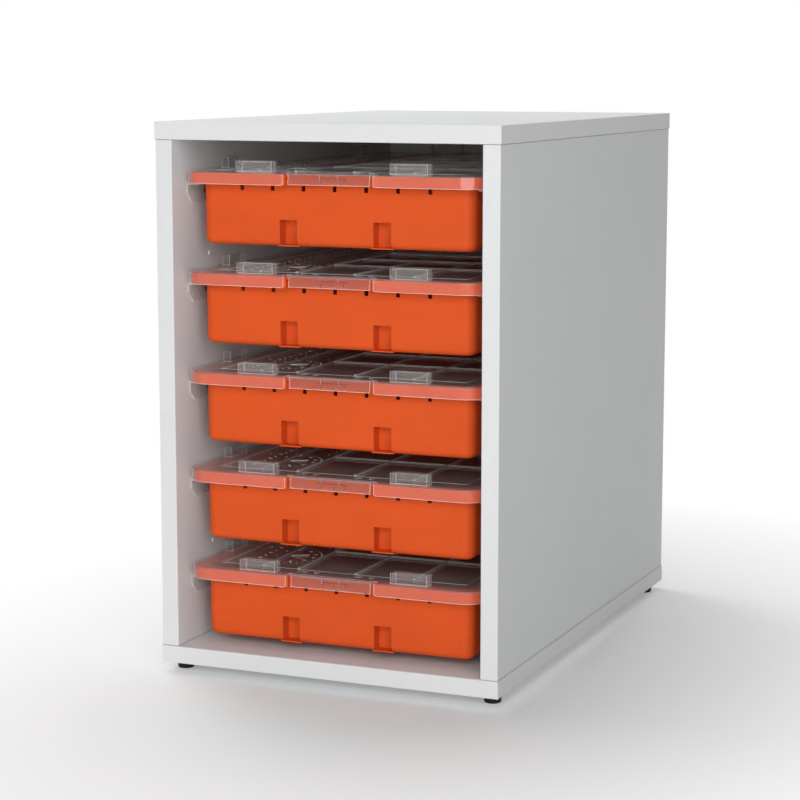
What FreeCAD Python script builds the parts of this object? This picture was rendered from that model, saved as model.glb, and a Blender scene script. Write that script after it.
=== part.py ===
import FreeCAD, Part
import os
import re
import Sketcher

# Classroom tray storage unit: a white board cabinet on four levelling feet, with five shallow
# orange trays under clear latching lids, each hanging by its rim on a pair of clear runners.
#
# Frame: millimetres, +Z up, +X to the right, front towards -Y. The origin is on the floor,
# under the middle of the cabinet.

SIZES = (
    # name, value, what it sets
    ("unit_width", 370.0, "width over the top and bottom panels"),
    ("unit_depth", 562.0, "depth over the top and bottom panels"),
    ("unit_height", 555.0, "underside of the bottom panel to the top"),
    ("board", 18.0, "thickness of the four main panels"),
    ("cap_overhang", 0.8, "top and bottom panels past the side panels, all round"),
    ("edging", 2.0, "thickness of the edging strips"),
    ("edge_round", 1.0, "rounding of an edging strip's outer edges"),
    ("back_board", 3.0, "thickness of the back panel"),
    ("back_rebate", 8.0, "width of the rebate that takes the back panel"),
    ("back_inset", 1.0, "back panel in front of the top panel's rear edge"),
    ("back_screw_radius", 1.5, "back screw shank"),
    ("back_screw_head", 2.8, "back screw head radius"),
    ("back_screw_length", 14.0, "back screw, over its head"),
    ("back_screw_inset_z", 42.0, "end back screws of a side panel from its ends"),
    ("back_screw_inset_x", 66.0, "end back screws of the top or bottom panel from the side panels"),
    ("hole_fit", 0.05, "radial gap round a dowel, screw or stem in its hole"),
    ("dowel_radius", 4.0, "panel dowels"),
    ("dowel_in_cap", 12.0, "dowel depth in the top or bottom panel"),
    ("dowel_in_side", 18.0, "dowel depth in a side panel's end"),
    ("dowel_end_room", 1.0, "spare depth past each dowel end"),
    ("dowel_spacing", 190.0, "between dowels along a joint"),
    ("foot_height", 10.0, "floor to the underside of the bottom panel"),
    ("foot_radius", 8.6, "foot pad"),
    ("foot_round", 1.6, "rounding of the foot pad's lower edge"),
    ("foot_inset_x", 14.5, "foot centre from the side of the bottom panel"),
    ("foot_inset_y", 25.0, "foot centre from the front or rear of the bottom panel"),
    ("stud_radius", 3.0, "threaded stud of a foot"),
    ("stud_in_pad", 7.0, "stud depth in the foot pad"),
    ("stud_in_panel", 14.0, "stud above the underside of the bottom panel"),
    ("stud_room", 0.5, "radial gap round a stud in the bottom panel"),
    ("insert_radius", 5.0, "threaded insert"),
    ("insert_length", 12.0, "threaded insert"),
    ("runner_length", 500.0, "runner, front to back"),
    ("runner_wall", 2.0, "thickness of a runner"),
    ("runner_web", 20.8, "height of a runner"),
    ("runner_chamfer", 9.5, "corner cut off each lower end of a runner"),
    ("ledge_reach", 15.0, "runner ledge in from the side panel"),
    ("runner_screw_radius", 1.75, "runner screw shank"),
    ("runner_screw_head", 3.6, "runner screw head radius"),
    ("runner_screw_dome", 2.0, "runner screw head height"),
    ("runner_screw_length", 16.0, "runner screw under its head"),
    ("runner_screw_spacing", 213.0, "between a runner's screws"),
    ("runner_screw_drop", 9.0, "runner screws below the top of the runner"),
    ("cap_radius", 2.6, "hole cover cap"),
    ("cap_height", 1.0, "hole cover cap, proud of the panel"),
    ("cap_stem_radius", 1.6, "stem of a hole cover cap"),
    ("cap_stem_length", 9.0, "stem of a hole cover cap"),
    ("cap_inset_y", 80.0, "hole cover caps from the front or rear of the cabinet"),
    ("cap_above_runner", 26.25, "hole cover caps above the top of a runner"),
    ("bottom_gap", 9.0, "bottom panel to the lowest tray"),
    ("tray_gap", 16.25, "top of a lid to the tray above it"),
    ("top_gap", 20.0, "top of the highest lid to the top panel"),
    ("tray_side_gap", 4.2, "side panel to the tray's rim"),
    ("tray_end_gap", 13.5, "front of the cabinet to the tray's rim"),
    ("rim_side_reach", 15.0, "rim out from the tray's side wall"),
    ("rim_end_reach", 15.0, "rim out from the tray's end wall"),
    ("rim_height", 11.0, "rim lip, top to bottom"),
    ("rim_corner", 24.0, "corner radius of the rim"),
    ("rim_plate", 2.0, "thickness of the flat top of the rim"),
    ("lip_wall", 1.8, "thickness of the rim's lip"),
    ("tub_wall", 2.2, "thickness of the tray's walls and floor"),
    ("tub_draft", 0.6, "slope of the tray's walls, in degrees"),
    ("tub_corner", 11.0, "corner radius of the tray's walls"),
    ("tub_base_round", 7.0, "rounding between the tray's walls and floor, outside"),
    ("notch_width", 19.0, "recess low in the tray's end wall"),
    ("notch_centre", 50.8, "recess centre from the middle"),
    ("notch_depth", 14.0, "recess, in from the end wall"),
    ("notch_top", 26.3, "top of the recess above the underside"),
    ("notch_floor", 1.2, "thickness under the recess"),
    ("block_step", 0.5, "block round the recess, in from the foot of the end wall"),
    ("slot_width", 4.2, "small slots under the rim"),
    ("slot_height", 5.5, "small slots under the rim"),
    ("slot_drop", 0.5, "small slots below the rim's lip"),
    ("slot_pitch", 33.85, "between small slots"),
    ("bay_width", 94.0, "recess in the rim behind a latch"),
    ("bay_step", 3.4, "recess behind a latch, at the top of the rim"),
    ("bay_depth", 7.5, "recess behind a latch, below its ceiling"),
    ("bay_ceiling", 2.7, "top of the rim to the ceiling of the latch recess"),
    ("bead_width", 32.0, "catch bead in the latch recess"),
    ("bead_height", 1.3, "catch bead in the latch recess"),
    ("bead_reach", 2.8, "catch bead, out from the recess"),
    ("gusset_width", 2.2, "ribs under the catch bead"),
    ("gusset_height", 3.6, "ribs under the catch bead"),
    ("gusset_spacing", 12.2, "between the ribs under the catch bead"),
    ("lid_plate", 2.0, "thickness of the lid"),
    ("lid_skirt", 1.8, "thickness of the lid's skirt"),
    ("lid_fit", 0.4, "gap between the lid's skirt and the rim"),
    ("lid_edge_round", 1.2, "rounding of the lid's upper edge"),
    ("seat_gap", 0.3, "gap where a moving piece rests close to another"),
    ("film", 0.1, "gap between a clear piece and what it lies on"),
    ("lug_height", 11.0, "stacking lugs above the lid"),
    ("lug_wall", 1.5, "thickness of the hollow stacking lugs"),
    ("lug_length", 39.4, "stacking lugs along the edge"),
    ("end_lug_width", 12.5, "stacking lugs at the ends, across the edge"),
    ("end_lug_inset", 6.8, "stacking lugs at the ends, in from the lid's edge"),
    ("end_lug_centre", 83.4, "stacking lugs at the ends, from the middle"),
    ("side_lug_width", 8.5, "stacking lugs at the sides, across the edge"),
    ("side_lug_inset", 6.8, "stacking lugs at the sides, in from the lid's edge"),
    ("side_lug_centre", 169.5, "stacking lugs at the sides, from the middle"),
    ("rib_width", 2.4, "ribs of the lid"),
    ("rib_height", 1.4, "ribs above the lid's plate"),
    ("rib_drop", 1.3, "ribs below the lid's plate"),
    ("frame_width", 0.8, "fine raised line round the ribbed field"),
    ("frame_height", 0.15, "fine raised line round the ribbed field"),
    ("field_inset_x", 28.0, "ribbed field in from the lid's sides"),
    ("field_inset_y", 29.5, "ribbed field in from the lid's ends"),
    ("cross_rib_pitch", 75.0, "between the ribs across the lid"),
    ("grid_left", -48.0, "left side of the ribbed grid"),
    ("grid_pitch", 63.75, "between the ribs along the lid"),
    ("scale_left", -88.0, "rib between the two measuring columns"),
    ("groove_width", 7.0, "groove beside the measuring columns"),
    ("groove_depth", 0.8, "groove beside the measuring columns"),
    ("latch_width", 87.8, "latch tab"),
    ("latch_slit", 4.7, "slit at each side of a latch tab"),
    ("slit_corner", 2.5, "rounding of the skirt's corners at a slit"),
    ("latch_root", 9.7, "root of a latch, in from the lid's edge"),
    ("latch_recess", 3.5, "top of a latch tab, in from the lid's edge"),
    ("latch_flare", 1.8, "latch tab's lower edge, out past its top"),
    ("latch_lift", 0.8, "latch tab's lower edge above the skirt's"),
    ("hook_height", 1.5, "hook on the latch tab"),
)
TRAY_COUNT = 5
TRAYS = range(1, TRAY_COUNT + 1)
CAPPED_TRAYS = (2, TRAY_COUNT)  # the trays whose runners have cover caps above them
SIDES = {"left": -1, "right": 1}
ENDS = {"front": -1, "rear": 1}

CLOSE = 0.000001  # mm, for telling which edges lie in a plane

UP = FreeCAD.Vector(0, 0, 1)
BACKWARDS = FreeCAD.Vector(0, 1, 0)

# Worked-out places. Each is a formula in the names above.
SIDE_OUTER = "(unit_width / 2 - cap_overhang)"
SIDE_INNER = "(unit_width / 2 - cap_overhang - board)"
SIDE_MIDDLE = "(unit_width / 2 - cap_overhang - board / 2)"
SIDE_END = "(unit_depth / 2 - cap_overhang)"
CABINET_LOW = "foot_height"
CABINET_FLOOR = "(foot_height + board)"
CABINET_CEILING = "(foot_height + unit_height - board)"
CABINET_TOP = "(foot_height + unit_height)"
BACK_REAR = "(unit_depth / 2 - back_inset)"
BACK_FRONT = f"({BACK_REAR} - back_board)"

TRAY_HEIGHT = (
    f"((unit_height - 2 * board - bottom_gap - top_gap - {TRAY_COUNT - 1} * tray_gap)"
    f" / {TRAY_COUNT})"
)
TUB_HEIGHT = f"({TRAY_HEIGHT} - lid_plate - lug_height)"
LIP_LOW = f"({TUB_HEIGHT} - rim_height)"
RIM_WIDTH = f"(2 * {SIDE_INNER} - 2 * tray_side_gap)"
RIM_LENGTH = "(unit_depth - 2 * tray_end_gap)"
TUB_WIDTH = f"({RIM_WIDTH} - 2 * rim_side_reach)"
TUB_LENGTH = f"({RIM_LENGTH} - 2 * rim_end_reach)"
DRAFT_STEP = f"({LIP_LOW} * tan(tub_draft))"
FOOT_WIDTH = f"({TUB_WIDTH} - 2 * {DRAFT_STEP})"
FOOT_LENGTH = f"({TUB_LENGTH} - 2 * {DRAFT_STEP})"
NOTCH_BACK = f"({TUB_LENGTH} / 2 - notch_depth)"
BAY_FACE = f"({RIM_LENGTH} / 2 - bay_depth)"
BAY_TOP = f"({TUB_HEIGHT} - bay_ceiling)"
LID_WIDTH = f"({RIM_WIDTH} + 2 * lid_fit + 2 * lid_skirt)"
LID_LENGTH = f"({RIM_LENGTH} + 2 * lid_fit + 2 * lid_skirt)"
LID_CORNER = "(rim_corner + lid_fit + lid_skirt)"
SKIRT_LOW = f"({LIP_LOW} + seat_gap)"
PLATE_TOP = f"({TUB_HEIGHT} + lid_plate)"
LUG_TOP = f"({PLATE_TOP} + lug_height)"
FIELD_X = f"({LID_WIDTH} / 2 - field_inset_x)"
FIELD_Y = f"({LID_LENGTH} / 2 - field_inset_y)"
RIBS_ALONG = ("scale_left", "grid_left", "grid_left + grid_pitch", "grid_left + 2 * grid_pitch")


def tray_level(number):
    """Height of a tray's underside; tray 1 is at the top."""
    return f"({CABINET_FLOOR} + bottom_gap + {TRAY_COUNT - number} * ({TRAY_HEIGHT} + tray_gap))"


def make_sheet():
    """Write the driving sizes, with their names and meanings, into a spreadsheet."""
    cells = doc.addObject("Spreadsheet::Sheet", "Sizes")
    for row, (name, value, meaning) in enumerate(SIZES, start=1):
        cells.set(f"A{row}", name)
        cells.set(f"B{row}", str(value))
        cells.set(f"C{row}", meaning)
        cells.setAlias(f"B{row}", name)
    doc.recompute()
    return cells


doc = FreeCAD.newDocument("TrayStorageUnit")
sheet = make_sheet()
SIZE_NAMES = {name for name, value, meaning in SIZES}
nodes = []


def formula(text):
    """Point every size name in a formula at its cell in the sheet."""
    return re.sub(
        r"[a-z]\w*",
        lambda word: f"Sizes.{word.group()}" if word.group() in SIZE_NAMES else word.group(),
        str(text),
    )


def number(text):
    """The value that a formula has now."""
    return float(sheet.evalExpression(str(text)))


def bind(thing, **formulas):
    """Bind properties to formulas."""
    for prop, text in formulas.items():
        thing.setExpression(prop, formula(text))


def place(thing, x="0", y="0", z="0"):
    """Bind an object's position to three formulas."""
    for axis, text in zip("xyz", (x, y, z)):
        thing.setExpression(f"Placement.Base.{axis}", formula(text))


def sided(sign, low, high):
    """A stretch between two formulas, or its mirror image when the sign is negative."""
    return (low, high) if sign > 0 else (f"-({high})", f"-({low})")


def centred(middle, size):
    """A stretch of the given size about a middle."""
    return (f"({middle}) - ({size}) / 2", f"({middle}) + ({size}) / 2")


def node(thing, label):
    """Name an object as one of the unit's pieces."""
    thing.Label = label
    nodes.append(thing)
    return thing


# Part primitives

def block(name, x, y, z):
    """A box between three pairs of formulas."""
    box = doc.addObject("Part::Box", name)
    bind(
        box,
        Length=f"({x[1]}) - ({x[0]})",
        Width=f"({y[1]}) - ({y[0]})",
        Height=f"({z[1]}) - ({z[0]})",
    )
    place(box, x[0], y[0], z[0])
    return box


def rod(name, radius, length, start, along=UP):
    """A cylinder from a start point, in a fixed direction."""
    cylinder = doc.addObject("Part::Cylinder", name)
    cylinder.Placement.Rotation = FreeCAD.Rotation(UP, along)
    bind(cylinder, Radius=radius, Height=length)
    place(cylinder, *start)
    return cylinder


def cone(name, start_radius, end_radius, length, start, along=UP):
    """A cone from a start point, in a fixed direction."""
    shape = doc.addObject("Part::Cone", name)
    shape.Placement.Rotation = FreeCAD.Rotation(UP, along)
    bind(shape, Radius1=start_radius, Radius2=end_radius, Height=length)
    place(shape, *start)
    return shape


def fused(name, pieces):
    """One solid made of pieces that touch."""
    union = doc.addObject("Part::MultiFuse", name)
    union.Shapes = pieces
    return union


def cut(name, base, tools):
    """A base with every tool cut out of it."""
    cutter = doc.addObject("Part::Compound", f"{name}_cutters")
    cutter.Links = tools
    result = doc.addObject("Part::Cut", name)
    result.Base = base
    result.Tool = cutter
    return result


def group(name, pieces):
    """Separate solids that share one node."""
    together = doc.addObject("Part::Compound", name)
    together.Links = pieces
    return node(together, name)


def rounded(name, base, test):
    """A base with the edging radius on each edge that passes a test of its bounding box."""
    doc.recompute()
    radius = number("edge_round")
    fillet = doc.addObject("Part::Fillet", name)
    fillet.Base = base
    fillet.Edges = [
        (index, radius, radius)
        for index, edge in enumerate(base.Shape.Edges, start=1)
        if test(edge.BoundBox)
    ]
    return fillet


# PartDesign features

def new_body(label):
    """An empty body that is one of the unit's pieces."""
    return node(doc.addObject("PartDesign::Body", label), label)


def sketch_on(body, role, height="0"):
    """A sketch on one of the body's own origin planes, raised by a formula."""
    sketch = body.newObject("Sketcher::SketchObject", f"{body.Name}_sketch")
    plane = next(item for item in body.Origin.OriginFeatures if item.Role == role)
    sketch.AttachmentSupport = (plane, [""])
    sketch.MapMode = "FlatFace"
    sketch.setExpression("AttachmentOffset.Base.z", formula(height))
    return sketch


def datum(sketch, name, text, *constraint):
    """Add a named dimension to a sketch and bind it to a formula."""
    index = sketch.addConstraint(Sketcher.Constraint(*constraint, number(text)))
    sketch.renameConstraint(index, name)
    sketch.setExpression(f"Constraints.{name}", formula(text))


def outline(sketch, name, points):
    """A closed polygon through points that are pairs of formulas."""
    first = sketch.GeometryCount
    count = len(points)
    spots = [FreeCAD.Vector(number(x), number(y), 0) for x, y in points]
    for index in range(count):
        sketch.addGeometry(Part.LineSegment(spots[index], spots[(index + 1) % count]))
    for index, (x, y) in enumerate(points):
        after = first + (index + 1) % count
        sketch.addConstraint(Sketcher.Constraint("Coincident", first + index, 2, after, 1))
        datum(sketch, f"{name}_x{index}", x, "DistanceX", -1, 1, first + index, 1)
        datum(sketch, f"{name}_y{index}", y, "DistanceY", -1, 1, first + index, 1)


def rectangle(sketch, name, x, y):
    """A rectangle between two pairs of formulas."""
    outline(sketch, name, [(x[0], y[0]), (x[1], y[0]), (x[1], y[1]), (x[0], y[1])])


def rounded_rectangle(sketch, name, length_x, length_y, corner):
    """A rectangle with round corners, centred on the sketch's origin."""
    x, y, radius = number(length_x) / 2, number(length_y) / 2, number(corner)
    first = sketch.GeometryCount
    corners = [(x, y, 0), (-x, y, 1), (-x, -y, 2), (x, -y, 3)]
    quarter = FreeCAD.Units.parseQuantity("90 deg").getValueAs("rad").Value
    centres = [
        FreeCAD.Vector(cx - radius * (1 if cx > 0 else -1), cy - radius * (1 if cy > 0 else -1), 0)
        for cx, cy, turn in corners
    ]
    for centre, (cx, cy, turn) in zip(centres, corners):
        circle = Part.Circle(centre, UP, radius)
        sketch.addGeometry(Part.ArcOfCircle(circle, turn * quarter, (turn + 1) * quarter))
    for index in range(4):
        end = sketch.Geometry[first + index].EndPoint
        start = sketch.Geometry[first + (index + 1) % 4].StartPoint
        sketch.addGeometry(Part.LineSegment(end, start))
    for index in range(4):
        line = first + 4 + index
        sketch.addConstraint(Sketcher.Constraint("Tangent", first + index, 2, line, 1))
        sketch.addConstraint(Sketcher.Constraint("Tangent", line, 2, first + (index + 1) % 4, 1))
        sketch.addConstraint(Sketcher.Constraint("Vertical" if index % 2 else "Horizontal", line))
    for index in (1, 2, 3):
        sketch.addConstraint(Sketcher.Constraint("Equal", first, first + index))
    sketch.addConstraint(Sketcher.Constraint("Symmetric", first, 3, first + 2, 3, -1, 1))
    datum(sketch, f"{name}_radius", corner, "Radius", first)
    datum(sketch, f"{name}_x", length_x, "DistanceX", first + 5, 1, first + 7, 1)
    datum(sketch, f"{name}_y", length_y, "DistanceY", first + 6, 1, first + 4, 1)


def pad(body, sketch, length, taper="0"):
    """Grow a sketch along its normal."""
    feature = body.newObject("PartDesign::Pad", f"{body.Name}_pad")
    feature.Profile = sketch
    bind(feature, Length=length, TaperAngle=taper)
    return feature


def pocket(body, sketch, length, upwards, taper="0"):
    """Cut a sketch out of the body, along its normal or against it."""
    feature = body.newObject("PartDesign::Pocket", f"{body.Name}_pocket")
    feature.Profile = sketch
    feature.Reversed = upwards
    bind(feature, Length=length, TaperAngle=taper)
    return feature


def dress_edges(body, kind, test, **sizes):
    """Fillet or chamfer each edge of the body so far that passes a test of its bounding box."""
    doc.recompute()
    base = body.Tip
    edges = [
        f"Edge{index}"
        for index, edge in enumerate(base.Shape.Edges, start=1)
        if test(edge.BoundBox)
    ]
    feature = body.newObject(f"PartDesign::{kind}", f"{body.Name}_{kind}")
    feature.Base = (base, edges)
    bind(feature, **sizes)


def body_box(body, kind, x, y, z):
    """Add or cut a box, kind being Additive or Subtractive."""
    box = body.newObject(f"PartDesign::{kind}Box", f"{body.Name}_box")
    bind(
        box,
        Length=f"({x[1]}) - ({x[0]})",
        Width=f"({y[1]}) - ({y[0]})",
        Height=f"({z[1]}) - ({z[0]})",
    )
    place(box, x[0], y[0], z[0])
    return box


# Cabinet

def dowel_places():
    """Centres of the dowels, by side and along the depth."""
    return [(f"{sign} * {SIDE_MIDDLE}", f"{step} * dowel_spacing")
            for sign in SIDES.values() for step in (-1, 0, 1)]


def back_screw_places():
    """Centres of the back screws: up the sides, then along the bottom and top."""
    rise = "(unit_height - 2 * board - 2 * back_screw_inset_z) / 3"
    uprights = [(f"{sign} * ({SIDE_INNER} + back_rebate / 2)",
                 f"{CABINET_FLOOR} + back_screw_inset_z + {step} * {rise}")
                for sign in SIDES.values() for step in range(4)]
    rails = [(f"{step} * ({SIDE_INNER} - back_screw_inset_x)", z)
             for z in (f"{CABINET_FLOOR} - back_rebate / 2", f"{CABINET_CEILING} + back_rebate / 2")
             for step in (-1, 0, 1)]
    return uprights, rails


def back_pilots(name, places):
    """Holes in a panel for the back screws' points."""
    return [rod(f"{name}_back_pilot_{index}", "back_screw_radius + hole_fit",
                "back_screw_length - back_board + dowel_end_room",
                (x, f"{BACK_FRONT} - back_screw_length + back_board - dowel_end_room", z), BACKWARDS)
            for index, (x, z) in enumerate(places, start=1)]


def cap_panel(name, low, high, joint_face, into_panel):
    """The top or bottom panel: low and high are its faces, joint_face the one on the sides."""
    half_x = "unit_width / 2 - edging"
    core = block(f"{name}_core", centred("0", f"2 * ({half_x})"),
                 ("-(unit_depth / 2 - edging)", "unit_depth / 2"), (low, high))
    rebate_z = sided(into_panel, "0", "back_rebate")
    tools = [block(f"{name}_rebate", centred("0", f"2 * ({SIDE_INNER} + back_rebate)"),
                   (BACK_FRONT, "unit_depth / 2 + edging"),
                   (f"{joint_face} + {rebate_z[0]}", f"{joint_face} + {rebate_z[1]}"))]
    depth = "dowel_in_cap + dowel_end_room"
    start = joint_face if into_panel > 0 else f"{joint_face} - ({depth})"
    for index, (x, y) in enumerate(dowel_places(), start=1):
        tools.append(rod(f"{name}_dowel_hole_{index}", "dowel_radius + hole_fit", depth, (x, y, start)))
    uprights, rails = back_screw_places()
    tools += back_pilots(name, rails[3:] if into_panel > 0 else rails[:3])
    return core, tools


def foot_places():
    """Centres of the feet, by name."""
    return {f"{end}_{side}": (f"{sign_x} * (unit_width / 2 - foot_inset_x)",
                              f"{sign_y} * (unit_depth / 2 - foot_inset_y)")
            for end, sign_y in ENDS.items() for side, sign_x in SIDES.items()}


def top_panel():
    core, tools = cap_panel("top_panel", CABINET_CEILING, CABINET_TOP, CABINET_CEILING, 1)
    node(cut("top_panel", core, tools), "top_panel")


def bottom_panel():
    core, tools = cap_panel("bottom_panel", CABINET_LOW, CABINET_FLOOR, CABINET_FLOOR, -1)
    for name, (x, y) in foot_places().items():
        tools.append(rod(f"insert_hole_{name}", "insert_radius + hole_fit", "insert_length",
                         (x, y, CABINET_LOW)))
        tools.append(rod(f"stud_hole_{name}", "stud_radius + stud_room",
                         "stud_in_panel + dowel_end_room", (x, y, CABINET_LOW)))
    node(cut("bottom_panel", core, tools), "bottom_panel")


def cap_edging(label, low, high):
    """Edging on the front and both sides of the top or bottom panel."""
    front = block(f"{label}_front_strip", centred("0", "unit_width"),
                  ("-unit_depth / 2", "-unit_depth / 2 + edging"), (low, high))
    face_y = -number("unit_depth") / 2
    face_x = number("unit_width") / 2
    strips = [rounded(f"{label}_front", front,
                      lambda box: abs(box.YMax - face_y) < CLOSE)]
    for side, sign in SIDES.items():
        strip = block(f"{label}_{side}_strip", sided(sign, "unit_width / 2 - edging", "unit_width / 2"),
                      ("-unit_depth / 2 + edging", "unit_depth / 2"), (low, high))
        strips.append(rounded(f"{label}_{side}", strip,
                              lambda box: abs(box.XMin - sign * face_x) < CLOSE
                              and abs(box.XMax - sign * face_x) < CLOSE
                              and box.YLength > face_x))
    group(label, strips)


def runner_screw_places():
    """Screw centres on a side panel, as pairs of depth and height."""
    return [(f"{step} * runner_screw_spacing",
             f"{tray_level(number_)} + {LIP_LOW} - runner_screw_drop")
            for number_ in TRAYS for step in (-1, 0, 1)]


def cover_cap_places():
    """Cover cap centres on a side panel, as pairs of depth and height."""
    return [(f"{end} * (unit_depth / 2 - cap_inset_y)",
             f"{tray_level(number_)} + {LIP_LOW} + cap_above_runner")
            for end in ENDS.values() for number_ in CAPPED_TRAYS]


def inward_rod(name, sign, radius, length, face, y, z):
    """A cylinder that runs from a face on one side out into that side's panel."""
    return rod(name, radius, length, (f"{sign} * ({face})", y, z), FreeCAD.Vector(sign, 0, 0))


def side_panel(side, sign):
    """A side panel, with rebate and all its holes, and its front edging."""
    label = f"{side}_side_panel"
    core = block(f"{label}_core", sided(sign, SIDE_INNER, SIDE_OUTER),
                 (f"-({SIDE_END} - edging)", SIDE_END), (CABINET_FLOOR, CABINET_CEILING))
    tools = [block(f"{label}_rebate",
                   sided(sign, f"{SIDE_INNER} - edging", f"{SIDE_INNER} + back_rebate"),
                   (BACK_FRONT, "unit_depth / 2"),
                   (f"{CABINET_FLOOR} - board", f"{CABINET_CEILING} + board"))]
    depth = "dowel_in_side + dowel_end_room"
    for end, start in (("low", CABINET_FLOOR), ("high", f"{CABINET_CEILING} - ({depth})")):
        for step in (-1, 0, 1):
            tools.append(rod(f"{label}_dowel_{end}_{step + 2}", "dowel_radius + hole_fit", depth,
                             (f"{sign} * {SIDE_MIDDLE}", f"{step} * dowel_spacing", start)))
    for index, (y, z) in enumerate(runner_screw_places(), start=1):
        tools.append(inward_rod(f"{label}_pilot_{index}", sign, "runner_screw_radius + hole_fit",
                                "runner_screw_length - runner_wall + hole_fit", SIDE_INNER, y, z))
    for index, (y, z) in enumerate(cover_cap_places(), start=1):
        tools.append(inward_rod(f"{label}_cap_hole_{index}", sign, "cap_stem_radius + hole_fit",
                                "cap_stem_length + hole_fit", SIDE_INNER, y, z))
    uprights, rails = back_screw_places()
    tools += back_pilots(label, uprights[:4] if sign < 0 else uprights[4:])
    node(cut(label, core, tools), label)

    strip = block(f"{side}_side_strip", sided(sign, SIDE_INNER, SIDE_OUTER),
                  (f"-{SIDE_END}", f"-{SIDE_END} + edging"), (CABINET_FLOOR, CABINET_CEILING))
    face_y = -number(SIDE_END)
    edges = rounded(f"{side}_side_edging", strip,
                    lambda box: abs(box.YMax - face_y) < CLOSE and box.ZLength > number("board"))
    node(edges, f"{side}_side_edging")


def back_panel():
    """The thin back, countersunk for its screws, in the rebates of the other panels."""
    sheet_board = block("back_panel_core", centred("0", f"2 * ({SIDE_INNER} + back_rebate)"),
                        (BACK_FRONT, BACK_REAR),
                        (f"{CABINET_FLOOR} - back_rebate", f"{CABINET_CEILING} + back_rebate"))
    tools = []
    uprights, rails = back_screw_places()
    for index, (x, z) in enumerate(uprights + rails, start=1):
        tools.append(rod(f"back_hole_{index}", "back_screw_radius + hole_fit", "2 * back_board",
                         (x, f"{BACK_FRONT} - back_board / 2", z), BACKWARDS))
        tools.append(cone(f"back_sink_{index}", "back_screw_radius + hole_fit",
                          "back_screw_head + hole_fit", "back_board / 2",
                          (x, f"{BACK_REAR} - back_board / 2", z), BACKWARDS))
    node(cut("back_panel", sheet_board, tools), "back_panel")


def back_screws():
    """Countersunk screws that hold the back."""
    uprights, rails = back_screw_places()
    screws = []
    for index, (x, z) in enumerate(uprights + rails, start=1):
        shank = rod(f"back_shank_{index}", "back_screw_radius", "back_screw_length - back_board / 2",
                    (x, f"{BACK_REAR} - back_screw_length", z), BACKWARDS)
        head = cone(f"back_head_{index}", "back_screw_radius", "back_screw_head", "back_board / 2",
                    (x, f"{BACK_REAR} - back_board / 2", z), BACKWARDS)
        screws.append(fused(f"back_screw_{index}", [shank, head]))
    group("back_screws", screws)


def dowels():
    """Wooden dowels between the side panels and the top and bottom panels."""
    pins = []
    for end, start in (("low", f"{CABINET_FLOOR} - dowel_in_cap"),
                       ("high", f"{CABINET_CEILING} - dowel_in_side")):
        for index, (x, y) in enumerate(dowel_places(), start=1):
            pins.append(rod(f"dowel_{end}_{index}", "dowel_radius", "dowel_in_cap + dowel_in_side",
                            (x, y, start)))
    group("panel_dowels", pins)


def cover_caps():
    """White caps pressed into the connector holes inside the side panels."""
    caps = []
    for side, sign in SIDES.items():
        outward = FreeCAD.Vector(sign, 0, 0)
        for index, (y, z) in enumerate(cover_cap_places(), start=1):
            disc = cone(f"{side}_cap_disc_{index}", "cap_radius - cap_height / 2", "cap_radius",
                        "cap_height", (f"{sign} * ({SIDE_INNER} - cap_height)", y, z), outward)
            stem = rod(f"{side}_cap_stem_{index}", "cap_stem_radius", "cap_stem_length",
                       (f"{sign} * {SIDE_INNER}", y, z), outward)
            caps.append(fused(f"{side}_cover_cap_{index}", [disc, stem]))
    group("hole_cover_caps", caps)


# Runners

def runner(side, sign, number_):
    """A clear runner: a web flat on the side panel and a ledge that carries a tray's rim."""
    label = f"{side}_runner_{number_}"
    body = new_body(label)
    web = sided(sign, f"{SIDE_INNER} - runner_wall", f"{SIDE_INNER} - film")
    ledge = sided(sign, f"{SIDE_INNER} - ledge_reach", f"{SIDE_INNER} - film")
    along = centred("0", "runner_length")
    body_box(body, "Additive", web, along, ("-runner_web", "-film"))
    body_box(body, "Additive", ledge, along, ("-runner_wall", "-film"))
    low = -number("runner_web")
    dress_edges(body, "Chamfer",
                lambda box: abs(box.ZMax - low) < CLOSE and box.XLength > box.YLength,
                Size="runner_chamfer")
    for step in (-1, 0, 1):
        hole = body.newObject("PartDesign::SubtractiveCylinder", f"{label}_hole")
        hole.Placement.Rotation = FreeCAD.Rotation(UP, FreeCAD.Vector(sign, 0, 0))
        bind(hole, Radius="runner_screw_radius + hole_fit", Height="3 * runner_wall")
        place(hole, f"{sign} * ({SIDE_INNER} - 2 * runner_wall)", f"{step} * runner_screw_spacing",
              "-runner_screw_drop")
    place(body, z=f"{tray_level(number_)} + {LIP_LOW}")


def runner_screws():
    """Pan-head screws through the runners into the side panels."""
    screws = []
    for side, sign in SIDES.items():
        outward = FreeCAD.Vector(sign, 0, 0)
        for index, (y, z) in enumerate(runner_screw_places(), start=1):
            seat = f"{SIDE_INNER} - runner_wall"
            head = cone(f"{side}_screw_head_{index}", "runner_screw_head - runner_screw_dome / 2",
                        "runner_screw_head", "runner_screw_dome",
                        (f"{sign} * ({seat} - runner_screw_dome)", y, z), outward)
            shank = inward_rod(f"{side}_screw_shank_{index}", sign, "runner_screw_radius",
                               "runner_screw_length", seat, y, z)
            screws.append(fused(f"{side}_runner_screw_{index}", [head, shank]))
    group("runner_screws", screws)


# Feet

def foot_inserts():
    """Threaded metal inserts in the bottom panel."""
    inserts = []
    for name, (x, y) in foot_places().items():
        shell = rod(f"insert_shell_{name}", "insert_radius", "insert_length", (x, y, CABINET_LOW))
        bore = rod(f"insert_bore_{name}", "stud_radius + hole_fit", "insert_length", (x, y, CABINET_LOW))
        inserts.append(cut(f"insert_{name}", shell, [bore]))
    group("foot_inserts", inserts)


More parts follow.
